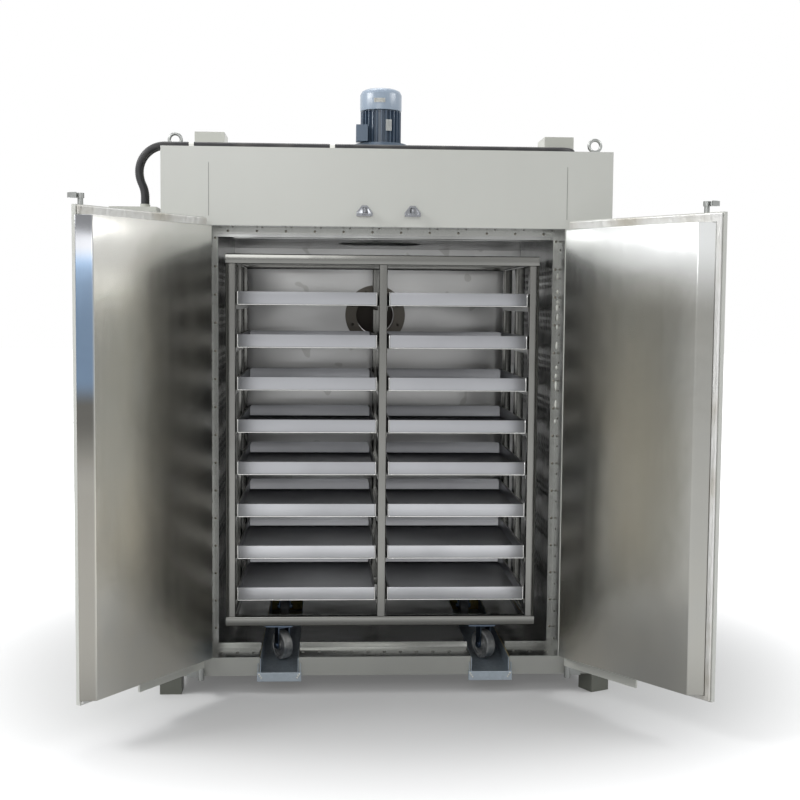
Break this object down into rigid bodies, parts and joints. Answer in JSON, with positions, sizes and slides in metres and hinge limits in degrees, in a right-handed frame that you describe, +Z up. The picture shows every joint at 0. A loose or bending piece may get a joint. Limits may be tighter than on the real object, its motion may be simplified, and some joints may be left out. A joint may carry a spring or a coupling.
{
  "type": "trolley drying oven",
  "caption": "Tall light-grey forced-air drying oven with two hinged doors, recessed floor tracks, a wheeled tray trolley, roof fan motor, heaters and a side control box.",
  "frame": {"origin": "on the floor, at the centre of the four foot anchor holes", "axes": "+Z up, +X to the right of someone facing the open doors, +Y into the oven"},
  "size_m": [1.8565, 1.6107, 2.022],
  "materials": {
    "dark_base": "satin dark olive steel",
    "light_grey_paint": "semi-gloss light grey enamel",
    "plated_steel": "zinc plated, dull",
    "mineral_wool": "loose fibre",
    "liner_stainless": "mill finish stainless",
    "galvanised_steel": "galvanised",
    "trim_stainless": "bright stainless",
    "heater_steel": "oxidised sheath",
    "cover_grey": "satin grey",
    "motor_paint": "dark blue-grey enamel",
    "cowl_paint": "pale blue-grey enamel",
    "black_hose": "corrugated, semi-matte",
    "clip_white": "matte",
    "bright_chrome": "polished",
    "plug_stainless": "satin stainless",
    "gasket_rubber": "pale silicone with foil",
    "black_plastic": "matte",
    "frame_stainless": "polished tube",
    "fork_steel": "dark passivated",
    "wheel_grey": "dull grey",
    "tray_stainless": "satin stainless"
  },
  "bodies": {
    "oven": {"base_frame": "dark_base", "outer_panels": "light_grey_paint", "front_panels": "light_grey_paint", "cabinet_hinges": "plated_steel", "insulation": "mineral_wool", "inner_liner": "liner_stainless", "air_panels": "liner_stainless", "track_channels": "galvanised_steel", "opening_trim": "trim_stainless", "exhaust_port": "liner_stainless", "heating_elements": "heater_steel", "heater_covers": "cover_grey", "fan_motor": "motor_paint", "motor_cowl": "cowl_paint", "conduit_hoses": "black_hose", "hose_clips": "clip_white", "lifting_eyes": "plated_steel", "latch_keepers": "bright_chrome", "control_box": "cover_grey"},
    "left_door": {"left_door_shell": "light_grey_paint", "left_door_plug": "plug_stainless", "left_door_fill": "mineral_wool", "left_door_gasket": "gasket_rubber"},
    "right_door": {"right_door_shell": "light_grey_paint", "right_door_plug": "plug_stainless", "right_door_fill": "mineral_wool", "right_door_gasket": "gasket_rubber"},
    "trolley": {"trolley_frame": "frame_stainless", "caster_mounts": "fork_steel"},
    "fan_rotor": {"fan_rotor": "liner_stainless"},
    "left_keeper_roller": {"left_keeper_roller": "bright_chrome"},
    "right_keeper_roller": {"right_keeper_roller": "bright_chrome"},
    "left_lock_rod": {"left_lock_rod": "plated_steel"},
    "left_door_handle": {"left_door_handle": "black_plastic"},
    "right_lock_rod": {"right_lock_rod": "plated_steel"},
    "right_door_handle": {"right_door_handle": "black_plastic"},
    "front_left_caster": {"front_left_caster": "fork_steel"},
    "front_right_caster": {"front_right_caster": "fork_steel"},
    "front_left_wheel": {"front_left_wheel": "wheel_grey"},
    "front_right_wheel": {"front_right_wheel": "wheel_grey"},
    "rear_left_wheel": {"rear_left_wheel": "wheel_grey"},
    "rear_right_wheel": {"rear_right_wheel": "wheel_grey"},
    "control_box_door": {"control_box_door": "cover_grey"},
    "main_switch": {"main_switch": "black_plastic"},
    "tray_left_1": {"tray_left_1": "tray_stainless"},
    "tray_left_2": {"tray_left_2": "tray_stainless"},
    "tray_left_3": {"tray_left_3": "tray_stainless"},
    "tray_left_4": {"tray_left_4": "tray_stainless"},
    "tray_left_5": {"tray_left_5": "tray_stainless"},
    "tray_left_6": {"tray_left_6": "tray_stainless"},
    "tray_left_7": {"tray_left_7": "tray_stainless"},
    "tray_left_8": {"tray_left_8": "tray_stainless"},
    "tray_right_1": {"tray_right_1": "tray_stainless"},
    "tray_right_2": {"tray_right_2": "tray_stainless"},
    "tray_right_3": {"tray_right_3": "tray_stainless"},
    "tray_right_4": {"tray_right_4": "tray_stainless"},
    "tray_right_5": {"tray_right_5": "tray_stainless"},
    "tray_right_6": {"tray_right_6": "tray_stainless"},
    "tray_right_7": {"tray_right_7": "tray_stainless"},
    "tray_right_8": {"tray_right_8": "tray_stainless"}
  },
  "joints": [
    {"name": "left_door_hinge", "type": "hinge", "parent": "oven", "child": "left_door", "pos_m": [-0.596, -0.534, 0.8], "axis": [0, 0, -1], "range_deg": [-123.1, 25]},
    {"name": "right_door_hinge", "type": "hinge", "parent": "oven", "child": "right_door", "pos_m": [0.596, -0.534, 0.8], "axis": [0, 0, 1], "range_deg": [-124.8, 25]},
    {"name": "left_lock_turn", "type": "hinge", "parent": "left_door", "child": "left_lock_rod", "pos_m": [-0.88697, -0.96386, 1.57], "axis": [0, 0, -1], "range_deg": [-90, 0]},
    {"name": "left_handle_lift", "type": "hinge", "parent": "left_lock_rod", "child": "left_door_handle", "pos_m": [-0.90246, -0.95376, 0.92997], "axis": [0.8377, -0.5461, 0], "range_deg": [0, 80]},
    {"name": "left_keeper_spin", "type": "hinge", "parent": "oven", "child": "left_keeper_roller", "pos_m": [-0.077, -0.52, 1.57], "axis": [0, 0, 1], "continuous": true},
    {"name": "right_lock_turn", "type": "hinge", "parent": "right_door", "child": "right_lock_rod", "pos_m": [0.89959, -0.95504, 1.57], "axis": [0, 0, 1], "range_deg": [-90, 0]},
    {"name": "right_handle_lift", "type": "hinge", "parent": "right_lock_rod", "child": "right_door_handle", "pos_m": [0.91478, -0.94448, 0.92997], "axis": [0.8211, 0.5707, 0], "range_deg": [0, 80]},
    {"name": "right_keeper_spin", "type": "hinge", "parent": "oven", "child": "right_keeper_roller", "pos_m": [0.077, -0.52, 1.57], "axis": [0, 0, 1], "continuous": true},
    {"name": "trolley_roll", "type": "slide", "parent": "oven", "child": "trolley", "axis": [0, -1, 0], "range_m": [0, 0.16]},
    {"name": "front_left_swivel", "type": "hinge", "parent": "trolley", "child": "front_left_caster", "pos_m": [-0.352, -0.32, 0.19], "axis": [0, 0, 1], "range_deg": [-52, 8]},
    {"name": "front_left_wheel_spin", "type": "hinge", "parent": "front_left_caster", "child": "front_left_wheel", "pos_m": [-0.342, -0.33732, 0.1204], "axis": [0.866, 0.5, 0], "continuous": true},
    {"name": "rear_left_wheel_spin", "type": "hinge", "parent": "trolley", "child": "rear_left_wheel", "pos_m": [-0.352, 0.23, 0.1204], "axis": [1, 0, 0], "continuous": true},
    {"name": "front_right_swivel", "type": "hinge", "parent": "trolley", "child": "front_right_caster", "pos_m": [0.332, -0.32, 0.19], "axis": [0, 0, 1], "range_deg": [-52, 8]},
    {"name": "front_right_wheel_spin", "type": "hinge", "parent": "front_right_caster", "child": "front_right_wheel", "pos_m": [0.342, -0.33732, 0.1204], "axis": [0.866, 0.5, 0], "continuous": true},
    {"name": "rear_right_wheel_spin", "type": "hinge", "parent": "trolley", "child": "rear_right_wheel", "pos_m": [0.332, 0.23, 0.1204], "axis": [1, 0, 0], "continuous": true},
    {"name": "tray_left_1_slide", "type": "slide", "parent": "trolley", "child": "tray_left_1", "axis": [0, -1, 0], "range_m": [0, 0.4]},
    {"name": "tray_left_2_slide", "type": "slide", "parent": "trolley", "child": "tray_left_2", "axis": [0, -1, 0], "range_m": [0, 0.4]},
    {"name": "tray_left_3_slide", "type": "slide", "parent": "trolley", "child": "tray_left_3", "axis": [0, -1, 0], "range_m": [0, 0.4]},
    {"name": "tray_left_4_slide", "type": "slide", "parent": "trolley", "child": "tray_left_4", "axis": [0, -1, 0], "range_m": [0, 0.4]},
    {"name": "tray_left_5_slide", "type": "slide", "parent": "trolley", "child": "tray_left_5", "axis": [0, -1, 0], "range_m": [0, 0.4]},
    {"name": "tray_left_6_slide", "type": "slide", "parent": "trolley", "child": "tray_left_6", "axis": [0, -1, 0], "range_m": [0, 0.4]},
    {"name": "tray_left_7_slide", "type": "slide", "parent": "trolley", "child": "tray_left_7", "axis": [0, -1, 0], "range_m": [0, 0.4]},
    {"name": "tray_left_8_slide", "type": "slide", "parent": "trolley", "child": "tray_left_8", "axis": [0, -1, 0], "range_m": [0, 0.4]},
    {"name": "tray_right_1_slide", "type": "slide", "parent": "trolley", "child": "tray_right_1", "axis": [0, -1, 0], "range_m": [0, 0.4]},
    {"name": "tray_right_2_slide", "type": "slide", "parent": "trolley", "child": "tray_right_2", "axis": [0, -1, 0], "range_m": [0, 0.4]},
    {"name": "tray_right_3_slide", "type": "slide", "parent": "trolley", "child": "tray_right_3", "axis": [0, -1, 0], "range_m": [0, 0.4]},
    {"name": "tray_right_4_slide", "type": "slide", "parent": "trolley", "child": "tray_right_4", "axis": [0, -1, 0], "range_m": [0, 0.4]},
    {"name": "tray_right_5_slide", "type": "slide", "parent": "trolley", "child": "tray_right_5", "axis": [0, -1, 0], "range_m": [0, 0.4]},
    {"name": "tray_right_6_slide", "type": "slide", "parent": "trolley", "child": "tray_right_6", "axis": [0, -1, 0], "range_m": [0, 0.4]},
    {"name": "tray_right_7_slide", "type": "slide", "parent": "trolley", "child": "tray_right_7", "axis": [0, -1, 0], "range_m": [0, 0.4]},
    {"name": "tray_right_8_slide", "type": "slide", "parent": "trolley", "child": "tray_right_8", "axis": [0, -1, 0], "range_m": [0, 0.4]},
    {"name": "fan_spin", "type": "hinge", "parent": "oven", "child": "fan_rotor", "pos_m": [-0.01, -0.05, 1.7], "axis": [0, 0, 1], "continuous": true},
    {"name": "control_box_door_hinge", "type": "hinge", "parent": "oven", "child": "control_box_door", "pos_m": [-0.8815, -0.123, 1.33], "axis": [0, 0, -1], "range_deg": [0, 110]},
    {"name": "main_switch_turn", "type": "hinge", "parent": "control_box_door", "child": "main_switch", "pos_m": [-0.8975, -0.28, 1.5], "axis": [-1, 0, 0], "range_deg": [0, 90]}
  ]
}
